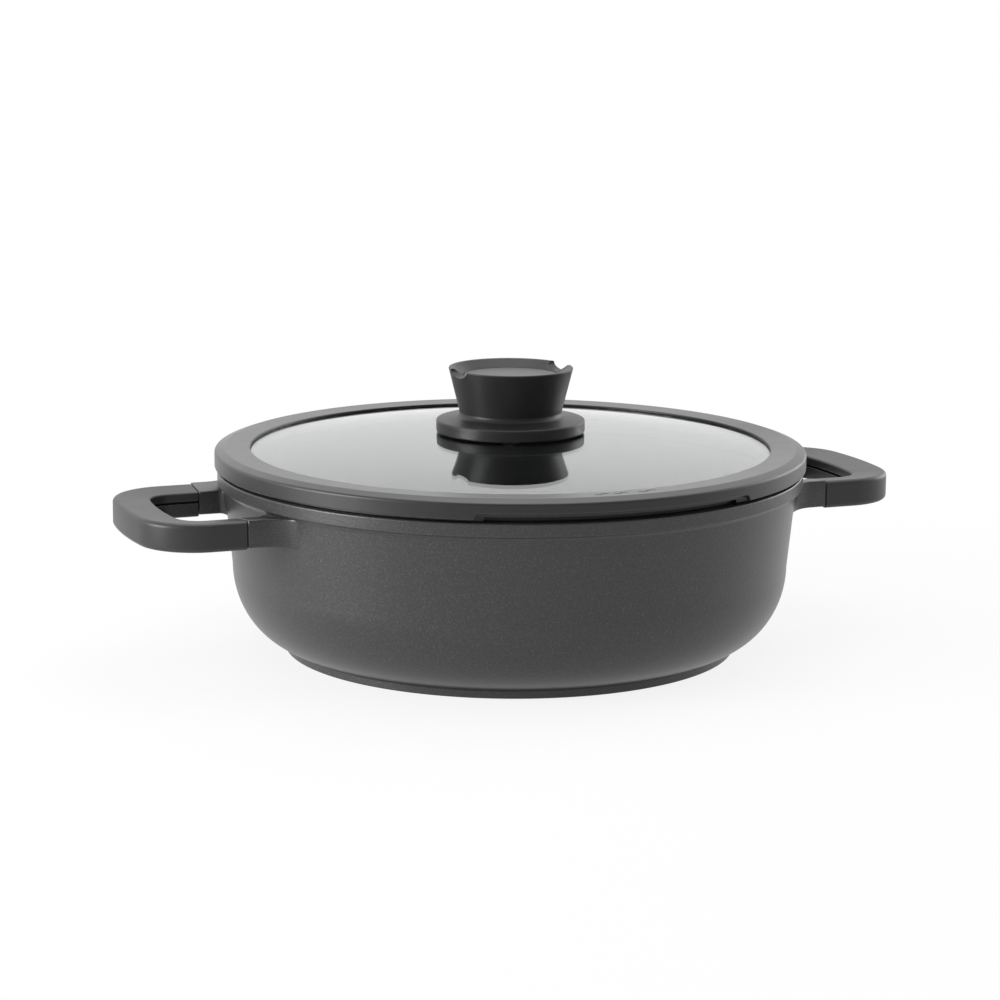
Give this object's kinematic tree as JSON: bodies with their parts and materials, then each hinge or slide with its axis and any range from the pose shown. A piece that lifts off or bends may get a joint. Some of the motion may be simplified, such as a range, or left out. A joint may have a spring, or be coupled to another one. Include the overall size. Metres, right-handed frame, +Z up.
{
  "type": "saute pan",
  "caption": "Wide cast saute pan with loop handles and a domed glass lid that has a broad silicone rim and a notched knob.",
  "frame": {"origin": "centre of the base, on the surface that the pan stands on", "axes": "+Z up along the pan's axis, +X through the right-hand handle, -Y towards the lid's strainer side"},
  "size_m": [0.3988, 0.2956, 0.1409],
  "materials": {
    "cast_aluminium": "dark grey non-stick coating with a fine speckle",
    "stainless_steel": "brushed",
    "handle_plastic": "satin, soft to the touch",
    "brass": "machined",
    "tempered_glass": "polished, faint grey-green tint",
    "grey_silicone": "matt dark grey",
    "seal_silicone": "matt",
    "knob_plastic": "satin",
    "knob_disc": "satin, bare"
  },
  "bodies": {
    "pan": {"pan_body": "cast_aluminium", "induction_plate": "stainless_steel", "handle_upper_right": "handle_plastic", "handle_upper_left": "handle_plastic", "handle_lower_right": "handle_plastic", "handle_lower_left": "handle_plastic", "handle_insert_right_back": "brass", "handle_insert_right_front": "brass", "handle_insert_left_back": "brass", "handle_insert_left_front": "brass", "handle_screw_right_back": "stainless_steel", "handle_screw_right_front": "stainless_steel", "handle_screw_left_back": "stainless_steel", "handle_screw_left_front": "stainless_steel"},
    "lid_axis": {"knob_screw": "stainless_steel"},
    "lid": {"lid_glass": "tempered_glass", "lid_rim": "grey_silicone", "knob_base": "knob_plastic", "knob_grip": "knob_plastic", "knob_top_disc": "knob_disc", "knob_core": "brass", "glass_seal_upper": "seal_silicone", "glass_seal_lower": "seal_silicone", "knob_washer": "stainless_steel"}
  },
  "joints": [
    {"name": "lid_lift", "type": "slide", "parent": "pan", "child": "lid_axis", "axis": [0, 0, 1], "range_m": [0, 0.15]},
    {"name": "lid_turn", "type": "hinge", "parent": "lid_axis", "child": "lid", "pos_m": [0, 0, 0.1], "axis": [0, 0, 1], "continuous": true}
  ]
}
